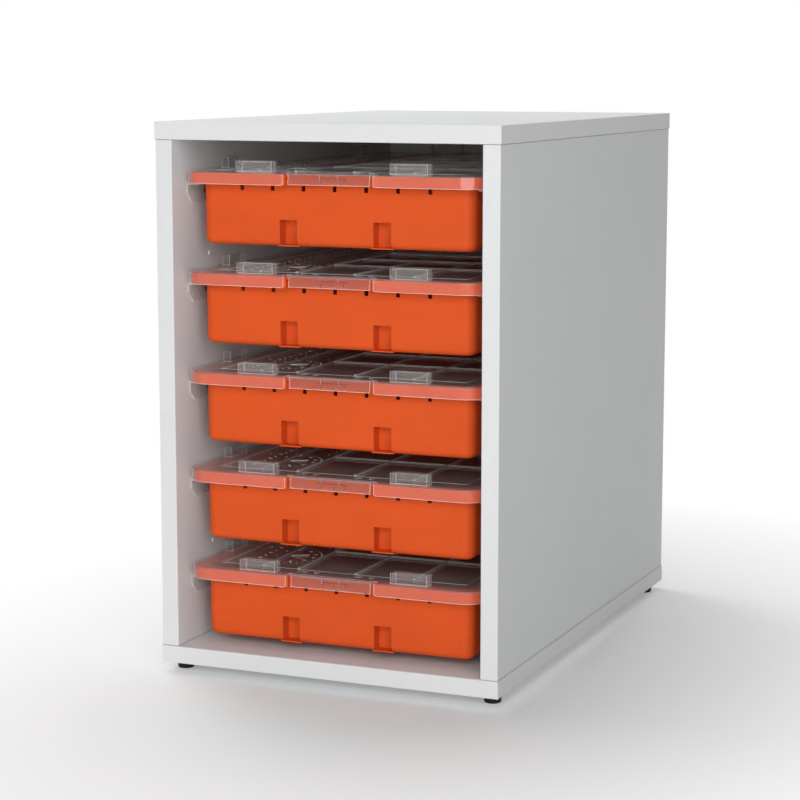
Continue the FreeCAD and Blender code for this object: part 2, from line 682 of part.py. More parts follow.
def foot(name, x, y):
    """A levelling foot: a steel stud, and the black pad moulded on its lower end."""
    stud_low = "foot_height - stud_in_pad"
    stud = rod(f"foot_stud_{name}", "stud_radius", "stud_in_pad + stud_in_panel", (x, y, stud_low))
    node(stud, f"foot_stud_{name}")
    body = new_body(f"foot_pad_{name}")
    disc = body.newObject("PartDesign::AdditiveCylinder", f"foot_disc_{name}")
    bind(disc, Radius="foot_radius", Height="foot_height")
    dress_edges(body, "Fillet", lambda box: box.ZMax < CLOSE, Radius="foot_round")
    hole = body.newObject("PartDesign::SubtractiveCylinder", f"foot_hole_{name}")
    bind(hole, Radius="stud_radius + hole_fit", Height="foot_height")
    place(hole, z=stud_low)
    place(body, x, y)


# Trays

def tub(number_):
    """A tray: draughted tub, turned-down rim, end recesses, slots and the lid's two catches."""
    body = new_body(f"tray_tub_{number_}")

    rim = sketch_on(body, "XY_Plane", LIP_LOW)
    rounded_rectangle(rim, "rim", RIM_WIDTH, RIM_LENGTH, "rim_corner")
    pad(body, rim, "rim_height")
    base = sketch_on(body, "XY_Plane")
    rounded_rectangle(base, "base", FOOT_WIDTH, FOOT_LENGTH, f"tub_corner - {DRAFT_STEP}")
    pad(body, base, LIP_LOW, "tub_draft")

    inside = sketch_on(body, "XY_Plane", "tub_wall")
    rounded_rectangle(inside, "inside", f"{FOOT_WIDTH} - 2 * tub_wall",
                      f"{FOOT_LENGTH} - 2 * tub_wall", f"tub_corner - {DRAFT_STEP} - tub_wall")
    pocket(body, inside, f"{TUB_HEIGHT} - tub_wall", True, "tub_draft")
    floor = number("tub_wall")
    dress_edges(body, "Fillet",
                lambda box: abs(box.ZMin - floor) < CLOSE and abs(box.ZMax - floor) < CLOSE,
                Radius="tub_base_round - tub_wall")

    groove = sketch_on(body, "XY_Plane", LIP_LOW)
    rounded_rectangle(groove, "lip", f"{RIM_WIDTH} - 2 * lip_wall", f"{RIM_LENGTH} - 2 * lip_wall",
                      "rim_corner - lip_wall")
    rounded_rectangle(groove, "wall", TUB_WIDTH, TUB_LENGTH, "tub_corner")
    pocket(body, groove, "rim_height - rim_plate", True)

    boxes = sketch_on(body, "XY_Plane")
    for end, sign in ENDS.items():
        for side, across in SIDES.items():
            rectangle(boxes, f"{end}_{side}",
                      centred(f"{across} * notch_centre", "notch_width + 2 * tub_wall"),
                      sided(sign, f"{NOTCH_BACK} - tub_wall", f"{FOOT_LENGTH} / 2 - block_step"))
    pad(body, boxes, "notch_top + tub_wall")
    dress_edges(body, "Fillet", lambda box: box.ZMax < CLOSE, Radius="tub_base_round")
    recesses = sketch_on(body, "XY_Plane", "notch_floor")
    for end, sign in ENDS.items():
        for side, across in SIDES.items():
            rectangle(recesses, f"{end}_{side}", centred(f"{across} * notch_centre", "notch_width"),
                      sided(sign, NOTCH_BACK, f"{TUB_LENGTH} / 2 + tub_wall"))
    pocket(body, recesses, "notch_top - notch_floor", True)
    for sign in ENDS.values():
        for across in SIDES.values():
            body_box(body, "Additive",
                     centred(f"{across} * notch_centre", "notch_width + 2 * tub_wall"),
                     sided(sign, NOTCH_BACK, f"{FOOT_LENGTH} / 2"), ("0", "notch_floor"))

    slots = sketch_on(body, "XZ_Plane")
    for step in range(-3, 4):
        rectangle(slots, f"slot_{step + 3}", centred(f"{step} * slot_pitch", "slot_width"),
                  (f"{LIP_LOW} - slot_drop - slot_height", f"{LIP_LOW} - slot_drop"))
    through = pocket(body, slots, f"2 * {TUB_LENGTH}", False)
    through.SideType = "Symmetric"

    for sign in ENDS.values():
        body_box(body, "Additive", centred("0", "bay_width + 2 * lip_wall"),
                 sided(sign, f"{BAY_FACE} - lip_wall", f"{RIM_LENGTH} / 2"),
                 (LIP_LOW, f"{TUB_HEIGHT} - rim_plate"))
        for face, ceiling in ((f"{RIM_LENGTH} / 2 - bay_step", f"{TUB_HEIGHT} + rim_plate"),
                              (BAY_FACE, BAY_TOP)):
            body_box(body, "Subtractive", centred("0", "bay_width"),
                     sided(sign, face, f"{RIM_LENGTH} / 2 + lip_wall"),
                     (f"{LIP_LOW} - rim_plate", ceiling))
        body_box(body, "Additive", centred("0", "bead_width"),
                 sided(sign, BAY_FACE, f"{BAY_FACE} + bead_reach"),
                 (f"{BAY_TOP} - 2 * bead_height", f"{BAY_TOP} - bead_height"))
        for step in (-1, 0, 1):
            body_box(body, "Additive", centred(f"{step} * gusset_spacing", "gusset_width"),
                     sided(sign, BAY_FACE, f"{BAY_FACE} + bead_reach"),
                     (f"{BAY_TOP} - 2 * bead_height - gusset_height", f"{BAY_TOP} - 2 * bead_height"))
    place(body, z=tray_level(number_))


def lug_places():
    """The eight stacking lugs of a lid, as pairs of stretches along X and Y."""
    end_face = f"{LID_LENGTH} / 2 - end_lug_inset"
    side_face = f"{LID_WIDTH} / 2 - side_lug_inset"
    ends = [(centred(f"{across} * end_lug_centre", "lug_length"),
             sided(sign, f"{end_face} - end_lug_width", end_face))
            for sign in ENDS.values() for across in SIDES.values()]
    flanks = [(sided(across, f"{side_face} - side_lug_width", side_face),
               centred(f"{sign} * side_lug_centre", "lug_length"))
              for sign in ENDS.values() for across in SIDES.values()]
    return ends + flanks


def lid(number_):
    """A clear lid: plate, skirt round the tray's rim, hollow stacking lugs and a grid of ribs."""
    body = new_body(f"tray_lid_{number_}")

    plate = sketch_on(body, "XY_Plane", SKIRT_LOW)
    rounded_rectangle(plate, "edge", LID_WIDTH, LID_LENGTH, LID_CORNER)
    pad(body, plate, f"{PLATE_TOP} - {SKIRT_LOW}")
    top = number(PLATE_TOP)
    dress_edges(body, "Fillet", lambda box: box.ZMin > top - CLOSE, Radius="lid_edge_round")
    under = sketch_on(body, "XY_Plane", SKIRT_LOW)
    rounded_rectangle(under, "inner", f"{LID_WIDTH} - 2 * lid_skirt", f"{LID_LENGTH} - 2 * lid_skirt",
                      f"{LID_CORNER} - lid_skirt")
    pocket(body, under, f"{TUB_HEIGHT} + film - {SKIRT_LOW}", True)
    for sign in ENDS.values():
        body_box(body, "Subtractive", centred("0", "latch_width + 2 * latch_slit"),
                 sided(sign, f"{LID_LENGTH} / 2 - latch_root", f"{LID_LENGTH} / 2 + lid_skirt"),
                 (f"{SKIRT_LOW} - lid_skirt", f"{PLATE_TOP} + lid_skirt"))
    low = number(SKIRT_LOW)
    slit_face = number("latch_width / 2 + latch_slit")
    dress_edges(body, "Fillet",
                lambda box: box.ZMax < low + CLOSE and box.XLength < CLOSE
                and abs(abs(box.XMin) - slit_face) < CLOSE,
                Radius="slit_corner")

    lugs = sketch_on(body, "XY_Plane", f"{PLATE_TOP} - lid_plate / 2")
    for index, (x, y) in enumerate(lug_places()):
        rectangle(lugs, f"lug_{index}", x, y)
    pad(body, lugs, "lug_height + lid_plate / 2")
    lug_top = number(LUG_TOP)
    dress_edges(body, "Fillet", lambda box: box.ZMin > lug_top - CLOSE, Radius="lug_wall / 2")
    hollows = sketch_on(body, "XY_Plane", TUB_HEIGHT)
    for index, (x, y) in enumerate(lug_places()):
        rectangle(hollows, f"hollow_{index}", (f"{x[0]} + lug_wall", f"{x[1]} - lug_wall"),
                  (f"{y[0]} + lug_wall", f"{y[1]} - lug_wall"))
    pocket(body, hollows, "lid_plate + lug_height - lug_wall", True)

    frame = sketch_on(body, "XY_Plane", PLATE_TOP)
    rectangle(frame, "outer", centred("0", f"2 * {FIELD_X}"), centred("0", f"2 * {FIELD_Y}"))
    rectangle(frame, "inner", centred("0", f"2 * {FIELD_X} - 2 * frame_width"),
              centred("0", f"2 * {FIELD_Y} - 2 * frame_width"))
    pad(body, frame, "frame_height")
    for low, height in ((PLATE_TOP, "rib_height"), (f"{TUB_HEIGHT} + film - rib_drop", "rib_drop")):
        cross = sketch_on(body, "XY_Plane", low)
        for step in range(-2, 3):
            rectangle(cross, f"cross_{step + 2}", ("grid_left", f"{FIELD_X} - frame_width"),
                      centred(f"{step} * cross_rib_pitch", "rib_width"))
        pad(body, cross, height)
        along = sketch_on(body, "XY_Plane", low)
        for index, x in enumerate(RIBS_ALONG):
            rectangle(along, f"along_{index}", centred(x, "rib_width"),
                      centred("0", f"2 * {FIELD_Y} - 2 * frame_width"))
        pad(body, along, height)
    band = sketch_on(body, "XY_Plane", PLATE_TOP)
    rectangle(band, "band", (f"-{FIELD_X} + rib_width", f"-{FIELD_X} + rib_width + groove_width"),
              centred("0", f"2 * {FIELD_Y} - 2 * rib_width"))
    pocket(body, band, "groove_depth", False)
    place(body, z=tray_level(number_))


def latch(end, sign, number_):
    """A clear latch tab: it hinges behind the lid's edge, and a hook on its foot clears the rim."""
    body = new_body(f"{end}_latch_{number_}")
    root = f"{LID_LENGTH} / 2 - latch_root + seat_gap"
    face = f"{LID_LENGTH} / 2 - latch_recess"
    low = f"{SKIRT_LOW} + latch_lift"
    profile = sketch_on(body, "YZ_Plane", "-latch_width / 2")
    points = [
        (root, f"{TUB_HEIGHT} + seat_gap"),
        (f"{face} - lid_skirt", f"{TUB_HEIGHT} + seat_gap"),
        (f"{face} - lid_skirt + latch_flare", low),
        (f"{face} + latch_flare", low),
        (face, f"{PLATE_TOP} - lid_edge_round"),
        (f"{face} - lid_edge_round", PLATE_TOP),
        (root, PLATE_TOP),
    ]
    outline(profile, "tab", [(f"{sign} * ({y})", z) for y, z in points])
    pad(body, profile, "latch_width")
    body_box(body, "Additive", centred("0", "bead_width"),
             sided(sign, f"{RIM_LENGTH} / 2 - bay_step + seat_gap", f"{face} - lid_skirt + latch_flare"),
             (low, f"{low} + hook_height"))
    place(body, z=tray_level(number_))


def check_and_write():
    """Check every object, then write one STEP file for each piece."""
    doc.recompute()
    failed = [item.Label for item in doc.Objects if {"Invalid", "Error"} & set(item.State)]
    if failed:
        raise RuntimeError(f"failed objects: {failed}")
    os.makedirs("parts", exist_ok=True)
    for item in nodes:
        if item.Shape.isNull() or not item.Shape.isValid() or not item.Shape.Solids:
            raise RuntimeError(f"bad shape: {item.Label}")
    for item in nodes:
        item.Shape.exportStep(f"parts/{item.Label}.step")
        print(f"{item.Label}: {len(item.Shape.Solids)} solids, {item.Shape.Volume / 1000:.1f} cm3")


top_panel()
bottom_panel()
cap_edging("top_panel_edging", CABINET_CEILING, CABINET_TOP)
cap_edging("bottom_panel_edging", CABINET_LOW, CABINET_FLOOR)
for side_name, side_sign in SIDES.items():
    side_panel(side_name, side_sign)
back_panel()
back_screws()
dowels()
cover_caps()
for side_name, side_sign in SIDES.items():
    for tray_number in TRAYS:
        runner(side_name, side_sign, tray_number)
runner_screws()
foot_inserts()
for foot_name, (foot_x, foot_y) in foot_places().items():
    foot(foot_name, foot_x, foot_y)
for tray_number in TRAYS:
    tub(tray_number)
    lid(tray_number)
    for end_name, end_sign in ENDS.items():
        latch(end_name, end_sign, tray_number)
check_and_write()
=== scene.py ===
import math
import random

import bmesh
import bpy
from mathutils import Matrix, Vector


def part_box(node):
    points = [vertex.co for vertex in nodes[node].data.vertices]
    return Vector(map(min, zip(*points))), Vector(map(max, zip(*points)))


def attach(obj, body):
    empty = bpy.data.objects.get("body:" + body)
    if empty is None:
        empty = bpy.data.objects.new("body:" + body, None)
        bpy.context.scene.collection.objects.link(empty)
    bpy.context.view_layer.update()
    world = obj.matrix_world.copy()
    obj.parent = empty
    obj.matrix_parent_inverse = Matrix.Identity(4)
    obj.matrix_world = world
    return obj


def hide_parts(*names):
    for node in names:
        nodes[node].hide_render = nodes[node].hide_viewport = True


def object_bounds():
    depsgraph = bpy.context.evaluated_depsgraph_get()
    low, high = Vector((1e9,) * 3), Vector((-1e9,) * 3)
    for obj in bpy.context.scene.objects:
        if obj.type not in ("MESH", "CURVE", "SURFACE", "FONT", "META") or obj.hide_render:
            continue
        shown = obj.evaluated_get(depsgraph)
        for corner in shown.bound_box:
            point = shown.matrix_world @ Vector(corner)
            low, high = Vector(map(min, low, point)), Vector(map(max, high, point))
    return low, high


# Looks for the classroom tray storage unit. Everything is in metres, +Z up, front towards -Y.

MM = 0.001
WELD = 0.001 * MM
TRAYS = range(1, 6)
ENDS = {"front": -1, "rear": 1}
SIDES = (-1, 1)

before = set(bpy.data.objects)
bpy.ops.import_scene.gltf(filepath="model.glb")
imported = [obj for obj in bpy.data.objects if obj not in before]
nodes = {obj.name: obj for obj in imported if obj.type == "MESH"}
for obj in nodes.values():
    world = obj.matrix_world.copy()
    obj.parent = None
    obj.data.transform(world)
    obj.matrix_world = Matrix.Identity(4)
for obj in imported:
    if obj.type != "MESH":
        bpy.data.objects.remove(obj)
cad_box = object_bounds()
random.seed(7)


# Colours are linear red, green and blue.
WHITE = (1.0, 1.0, 1.0)
BOARD_WHITE = (0.800, 0.810, 0.815)
EDGE_WHITE = (0.805, 0.812, 0.818)
BACK_WHITE = (0.74, 0.74, 0.73)
CAP_WHITE = (0.82, 0.82, 0.80)
TRAY_ORANGE = (0.775, 0.098, 0.016)
TRAY_BOUNCE = (0.60, 0.19, 0.13)
CLEAR = (0.990, 0.986, 0.984)
STEEL = (0.36, 0.36, 0.37)
BRASS = (0.60, 0.43, 0.17)
BEECH = (0.58, 0.38, 0.20)
FOOT_BLACK = (0.012, 0.012, 0.013)
PLASTIC_WHITE = (0.86, 0.85, 0.84)

# Textures of the finishes. A noise is its spots a metre, its detail and its roughness. Shades
# multiply a colour, a spread is added to a roughness, and a bump is its strength and its depth.

# Noise lies mostly between these two.
NOISE_LOW, NOISE_HIGH = 0.3, 0.7

# A face is upright when its normal's squared height is below the first, level above the second.
LEVEL_RANGE = (0.2, 0.8)

BOARD_MOTTLE = (9.0, 4.0)
BOARD_SHADES = (0.985, 1.01)
BOARD_SHEEN = (60.0, 4.0)
BOARD_SPREAD = (-0.04, 0.05)
BOARD_PEARL = (1400.0, 2.0)
BOARD_BUMP = (0.10, 0.00012)
BOARD_IOR = 1.48

SEAMS = (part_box("left_side_panel")[0][2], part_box("left_side_panel")[1][2])
SEAM_WIDTH = 0.8 * MM
SEAM_FADE = (SEAM_WIDTH * 0.4, SEAM_WIDTH * 0.6)
SEAM_SHADE = 0.15

MOULD_FLOW = (14.0, 5.0, 0.55)
MOULD_FLOW_STRETCH = (1.0, 0.5, 2.0)
MOULD_SHADES = (0.955, 1.03)
MOULD_SHEEN = (90.0, 3.0)
MOULD_SPREAD = (-0.05, 0.06)
MOULD_GRAIN = 1600.0
FOOT_GRAIN = 900.0
MOULD_BUMP = (0.14, 0.00008)

PLASTIC_IOR = 1.5
MIRROR_IOR = 1.6
CLEAR_WAVES = (26.0, 2.0)
CLEAR_BUMP = (0.05, 0.00005)
CLEAR_MOTTLE = (45.0, 3.0)
CLEAR_SHADES = (0.85, 1.15)

# Clear mouldings get a painted highlight, a dull white share, along their edges and along their
# outlines,
# # weaker on the faces seen from inside. An edge is where the normal, rounded over EDGE_RADIUS,
# turns: the
# # painted line is full where the cosine is below the first of EDGE_TURN and gone above the
# second.
EDGE_RADIUS = 1.1 * MM
EDGE_SAMPLES = 6
EDGE_TURN = (0.85, 0.992)
OUTLINE_HIGHLIGHT = 0.7
INNER_SHARE = 0.25

METAL_LINES = (500.0, 3.0, 0.6)
METAL_STRETCH = (1.0, 1.0, 12.0)
METAL_SHADES = (0.85, 1.1)
METAL_SPREAD = (-0.06, 0.1)
METAL_BUMP = (0.2, 0.00003)

WOOD_GRAIN = (220.0, 5.0, 0.6)
WOOD_STRETCH = (1.0, 1.0, 0.08)
WOOD_SHADES = (0.72, 1.12)
WOOD_ROUGHNESS = (0.55, 0.75)
WOOD_BUMP = (0.3, 0.0002)


class Tree:
    """A node tree, with short ways to add and join nodes."""

    def __init__(self, tree):
        self.tree = tree

    def add(self, kind, **inputs):
        """Add a node; the inputs are values or the output sockets of other nodes."""
        node = self.tree.nodes.new(kind)
        for name, value in inputs.items():
            self.feed(node.inputs[name.replace("_", " ")], value)
        return node

    def feed(self, socket, value):
        """Join a socket to another node's output, or set its value."""
        if isinstance(value, bpy.types.NodeSocket):
            self.tree.links.new(value, socket)
        elif isinstance(value, tuple) and len(value) == 3 and len(socket.default_value) == 4:
            socket.default_value = (*value, 1.0)
        else:
            socket.default_value = value

    def fill(self, node, *values):
        """Feed a node's inputs in their order, and return its outputs."""
        for socket, value in zip(node.inputs, values):
            self.feed(socket, value)
        return node.outputs

    def calculate(self, operation, *values, clamp=False):
        """A number worked out from others."""
        node = self.add("ShaderNodeMath")
        node.operation = operation
        node.use_clamp = clamp
        return self.fill(node, *values)[0]

    def mix(self, share, first, second):
        """A shader between two shaders."""
        return self.fill(self.add("ShaderNodeMixShader"), share, first, second)[0]


class Nodes(Tree):
    """A new material's node tree, with its main shader and short ways to make textures."""

    def __init__(self, name):
        self.material = bpy.data.materials.new(name)
        self.material.use_nodes = True
        super().__init__(self.material.node_tree)
        self.shader = self.tree.nodes["Principled BSDF"]
        self.output = self.tree.nodes["Material Output"]
        self.place = self.add("ShaderNodeTexCoord").outputs["Object"]

    def stretched(self, scale):
        """Object coordinates, scaled along each axis."""
        return self.add("ShaderNodeMapping", Vector=self.place, Scale=scale).outputs[0]

    def noise(self, scale, detail=3.0, roughness=0.5, at=None):
        """Noise, mostly from NOISE_LOW to NOISE_HIGH; scale is in spots a metre."""
        at = self.place if at is None else at
        return self.add("ShaderNodeTexNoise", Vector=at, Scale=scale, Detail=detail,
                        Roughness=roughness).outputs[0]

    def ranged(self, value, low, high, start=NOISE_LOW, end=NOISE_HIGH):
        """Map a value between start and end to between low and high."""
        return self.add("ShaderNodeMapRange", Value=value, From_Min=start, From_Max=end,
                        To_Min=low, To_Max=high).outputs[0]

    def between(self, share, first, second):
        """A number between two numbers."""
        return self.ranged(share, first, second, 0.0, 1.0)

    def spread(self, value, middle, reach):
        """Turn noise into numbers a little under and over a middle."""
        return self.ranged(value, middle + reach[0], middle + reach[1])

    def blend(self, share, first, second):
        """A colour between two colours."""
        node = self.tree.nodes.new("ShaderNodeMix")
        node.data_type = "RGBA"
        for index, value in ((0, share), (6, first), (7, second)):
            self.feed(node.inputs[index], value)
        return node.outputs[2]

    def tint(self, share, colour, shades):
        """A colour between two shades of itself."""
        return self.blend(share, shade(colour, shades[0]), shade(colour, shades[1]))

    def times(self, first, second):
        """The product of two numbers."""
        return self.calculate("MULTIPLY", first, second)

    def plus(self, first, second):
        """The sum of two numbers, at most 1."""
        return self.calculate("ADD", first, second, clamp=True)

    def squared(self, value):
        """A number times itself."""
        return self.times(value, value)

    def measure(self, operation, first, second):
        """A number worked out from two vectors."""
        node = self.add("ShaderNodeVectorMath")
        node.operation = operation
        return self.fill(node, first, second)["Value"]

    def by_slope(self, upright, level):
        """A number that runs from one value on upright faces to another on level faces."""
        normal = self.add("ShaderNodeNewGeometry").outputs["Normal"]
        height = self.add("ShaderNodeSeparateXYZ", Vector=normal).outputs["Z"]
        return self.ranged(self.squared(height), upright, level, *LEVEL_RANGE)

    def bump(self, height, strength, depth):
        """Bump from a height, depth in metres."""
        return self.add("ShaderNodeBump", Height=height, Strength=strength,
                        Distance=depth).outputs[0]

    def finish(self, **inputs):
        """Set the main shader's inputs and return the material."""
        for name, value in inputs.items():
            self.feed(self.shader.inputs[name.replace("_", " ")], value)
        return self.material

    def show(self, surface):
        """Show another shader than the main one."""
        self.feed(self.output.inputs["Surface"], surface)


def shade(colour, factor):
    """A colour made darker or lighter."""
    return tuple(min(1.0, part * factor) for part in colour)


def seam_line(mat):
    """How near a point is to a joint between the side panels and the caps; 0 on level faces."""
    height = mat.add("ShaderNodeSeparateXYZ", Vector=mat.place).outputs["Z"]
    lines = 0.0
    for seam in SEAMS:
        off = mat.calculate("ABSOLUTE", mat.calculate("SUBTRACT", height, seam))
        lines = mat.plus(lines, mat.ranged(off, 1.0, 0.0, *SEAM_FADE))
    return mat.times(lines, mat.by_slope(1.0, 0.0))


def melamine(name, colour, roughness):
    """White faced board: a fine pearl texture, a faint mottle and a dark line at the joints."""
    mat = Nodes(name)
    mottle = mat.ranged(mat.noise(*BOARD_MOTTLE), 0.0, 1.0)
    face = mat.tint(mottle, colour, BOARD_SHADES)
    return mat.finish(
        Base_Color=mat.blend(seam_line(mat), face, shade(colour, SEAM_SHADE)),
        Roughness=mat.spread(mat.noise(*BOARD_SHEEN), roughness, BOARD_SPREAD),
        IOR=BOARD_IOR,
        Specular_IOR_Level=0.1,
        Normal=mat.bump(mat.noise(*BOARD_PEARL), *BOARD_BUMP),
    )


def moulded(name, colour, roughness, bounce=None, grain=MOULD_GRAIN):
    """Moulded plastic: fine spark-eroded grain, slight flow marks.

    Diffuse light that meets the plastic takes the bounce colour, where there is one.
    """
    mat = Nodes(name)
    flow = mat.ranged(mat.noise(*MOULD_FLOW, mat.stretched(MOULD_FLOW_STRETCH)), 0.0, 1.0)
    face = mat.tint(flow, colour, MOULD_SHADES)
    if bounce is not None:
        rays = mat.add("ShaderNodeLightPath")
        face = mat.blend(rays.outputs["Is Diffuse Ray"], face, bounce)
    return mat.finish(
        Base_Color=face,
        Roughness=mat.spread(mat.noise(*MOULD_SHEEN), roughness, MOULD_SPREAD),
        IOR=PLASTIC_IOR,
        Specular_IOR_Level=0.15,
        Normal=mat.bump(mat.noise(grain), *MOULD_BUMP),
    )


def clear_plastic(name, haze, edge_highlights, roughness, shadow, mirror_ior=MIRROR_IOR):
    """Thin clear moulding: what is behind it shows unbent, and its edges and outlines get a
    painted highlight.

    haze and the painted edge highlights are pairs, for level faces and for upright faces. A high
    mirror_ior stands for the light that small raised details throw back from inside.
    """
    mat = Nodes(name)
    normal = mat.bump(mat.noise(*CLEAR_WAVES), *CLEAR_BUMP)
    surface = mat.add("ShaderNodeNewGeometry").outputs
    level = mat.by_slope(0.0, 1.0)
    outer = mat.between(surface["Backfacing"], 1.0, 0.0)

    fresnel = mat.add("ShaderNodeFresnel", IOR=mirror_ior, Normal=normal).outputs[0]
    see = mat.add("ShaderNodeBsdfTransparent", Color=CLEAR).outputs[0]
    mirror = mat.add("ShaderNodeBsdfGlossy", Roughness=roughness, Normal=normal).outputs[0]
    polished = mat.mix(mat.times(fresnel, outer), see, mirror)

    # Painted highlight: where the rounded normal turns at an edge, the moulding turns dull white.
    rounded = mat.add("ShaderNodeBevel", Radius=EDGE_RADIUS)
    rounded.samples = EDGE_SAMPLES
    turned = mat.measure("DOT_PRODUCT", rounded.outputs[0], surface["Normal"])
    edge_highlight = mat.times(mat.ranged(turned, 1.0, 0.0, *EDGE_TURN),
                     mat.between(level, edge_highlights[1], edge_highlights[0]))

    # Painted highlight: upright faces seen at a grazing angle turn dull white along their
    # outlines.
    grazing = mat.add("ShaderNodeLayerWeight", Blend=0.5).outputs["Facing"]
    outline_highlight = mat.times(mat.times(mat.squared(grazing), grazing),
                        mat.between(level, OUTLINE_HIGHLIGHT, 0.0))
    film = mat.times(mat.between(level, haze[1], haze[0]),
                     mat.ranged(mat.noise(*CLEAR_MOTTLE), *CLEAR_SHADES))
    # Real haze, plus the painted highlights at edges and outlines.
    haze_and_highlight = mat.times(mat.plus(mat.plus(film, outline_highlight), edge_highlight),
                     mat.between(outer, INNER_SHARE, 1.0))
    mat.finish(Base_Color=PLASTIC_WHITE, Roughness=0.35, IOR=PLASTIC_IOR, Normal=normal)
    whole = mat.mix(haze_and_highlight, polished, mat.shader.outputs[0])

    lamps_pass = mat.add("ShaderNodeBsdfTransparent", Color=shadow).outputs[0]
    rays = mat.add("ShaderNodeLightPath")
    mat.show(mat.mix(rays.outputs["Is Shadow Ray"], whole, lamps_pass))
    return mat.material


def metal(name, colour, roughness):
    """Plated or turned metal with fine machining lines."""
    mat = Nodes(name)
    lines = mat.noise(*METAL_LINES, mat.stretched(METAL_STRETCH))
    return mat.finish(
        Base_Color=mat.tint(lines, colour, METAL_SHADES),
        Roughness=mat.spread(lines, roughness, METAL_SPREAD),
        Metallic=1.0,
        Normal=mat.bump(lines, *METAL_BUMP),
    )


def beech(name):
    """Dowel wood, grain along the height."""
    mat = Nodes(name)
    grain = mat.noise(*WOOD_GRAIN, mat.stretched(WOOD_STRETCH))
    return mat.finish(
        Base_Color=mat.tint(grain, BEECH, WOOD_SHADES),
        Roughness=mat.ranged(grain, *WOOD_ROUGHNESS),
        Normal=mat.bump(grain, *WOOD_BUMP),
    )


board = melamine("white_board", BOARD_WHITE, roughness=0.50)
edging = melamine("white_edging", EDGE_WHITE, roughness=0.42)
back = melamine("back_board", BACK_WHITE, roughness=0.5)
cap = moulded("white_plastic", CAP_WHITE, roughness=0.35)
orange = moulded("tray_plastic", TRAY_ORANGE, roughness=0.50, bounce=TRAY_BOUNCE)
clear = clear_plastic("lid_plastic", haze=(0.20, 0.045), edge_highlights=(0.24, 1.0), roughness=0.04,
                      shadow=(0.97, 0.96, 0.95))
latch = clear_plastic("latch_plastic", haze=(0.10, 0.03), edge_highlights=(0.24, 1.0), roughness=0.04,
                      shadow=(0.55, 0.53, 0.51))
runner = clear_plastic("runner_plastic", haze=(0.28, 0.18), edge_highlights=(0.7, 1.0), roughness=0.10,
                       shadow=(0.97, 0.96, 0.96))
marks = clear_plastic("mark_plastic", haze=(0.20, 0.40), edge_highlights=(0.2, 0.2), roughness=0.20,
                      shadow=(0.97, 0.96, 0.95), mirror_ior=3.5)
steel = metal("bright_steel", STEEL, roughness=0.28)
brass = metal("insert_brass", BRASS, roughness=0.3)
wood = beech("dowel_wood")
black = moulded("foot_plastic", FOOT_BLACK, roughness=0.45, grain=FOOT_GRAIN)

BY_PREFIX = {
    "top_panel": board, "bottom_panel": board, "left_side_panel": board, "right_side_panel": board,
    "top_panel_edging": edging, "bottom_panel_edging": edging,
    "left_side_edging": edging, "right_side_edging": edging,
    "back_panel": back, "back_screws": steel, "panel_dowels": wood, "hole_cover_caps": cap,
    "left_runner_": runner, "right_runner_": runner, "runner_screws": steel,
    "foot_inserts": brass, "foot_stud_": steel, "foot_pad_": black,
    "tray_tub_": orange, "tray_lid_": clear, "front_latch_": latch, "rear_latch_": latch,
}


def dress_nodes():
    """Give every CAD node the material of the longest prefix that its name starts with."""
    for name, obj in nodes.items():
        prefix = max((key for key in BY_PREFIX if name.startswith(key)), key=len)
        obj.data.materials.clear()
        obj.data.materials.append(BY_PREFIX[prefix])


dress_nodes()


# Details that ride on the CAD bodies

# A lid's box ends at the top of its stacking lugs, this far over its plate.
LUG_HEIGHT = 11.0 * MM

# Marks stand on the plate by their height and reach into it by their sink.
MARK_HEIGHT = 0.35 * MM
MARK_WIDTH = 0.8 * MM
TICK_WIDTH = 1.2 * MM
MARK_SINK = 1.2 * MM
NUMBER_SINK = 0.6 * MM
LINE_SINK = 0.05 * MM
STROKE_RINGS = ((0.5, 0.9), (1.0, 0.55))

SCALE_START = -216.0 * MM
SCALE_END = 226.0 * MM
INCH = 25.4 * MM
INCH_TICKS_X = (-110.2 * MM, -108.4 * MM)
INCH_HALF_TICKS_X = (-111.3 * MM, -107.3 * MM)
INCH_NUMBERS_X = -96.5 * MM
INCH_NUMBER_SIZE = 4.5 * MM
SIDE_NUMBERS_X = -121.0 * MM
SIDE_NUMBER_EVERY = 5

CM_START = -136.0 * MM
HALF_CM = 5.0 * MM
CM_SCALE_X = -50.2 * MM
CM_TICK = 3.5 * MM
CM_HALF_TICK = 2.0 * MM
CM_NUMBERS_X = -60.5 * MM
CM_NUMBER_SIZE = 3.5 * MM

ANGLE_CENTRE = (-86.4 * MM, -184.0 * MM)
ANGLE_RADIUS = 36.5 * MM
ANGLE_TICKS = range(-90, 100, 10)
ANGLE_TICK_START = ANGLE_RADIUS * 0.95
ANGLE_RAYS = (-25, 0, 25)
ANGLE_RAY_ENDS = (ANGLE_RADIUS * 0.12, ANGLE_RADIUS * 0.62)
ANGLE_NUMBERS = range(-90, 120, 30)
ANGLE_NUMBERS_AT = ANGLE_RADIUS * 0.80
ANGLE_NUMBER_SIZE = 3.0 * MM

ARROWS_X = (24.0 * MM, 37.0 * MM)
ARROW_TIP_Y = 251.0 * MM
ARROW_TAIL_Y = 246.5 * MM
ARROW_HALF_WIDTH = 2.5 * MM


def piece(name, bm, material, body):
    """Make an object from a bmesh. It rides on a body and takes a slot's finish."""
    bmesh.ops.recalc_face_normals(bm, faces=bm.faces)
    mesh = bpy.data.meshes.new(name)
    bm.to_mesh(mesh)
    bm.free()
    mesh.materials.append(material)
    obj = bpy.data.objects.new(name, mesh)
    bpy.context.scene.collection.objects.link(obj)
    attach(obj, body)
    return obj


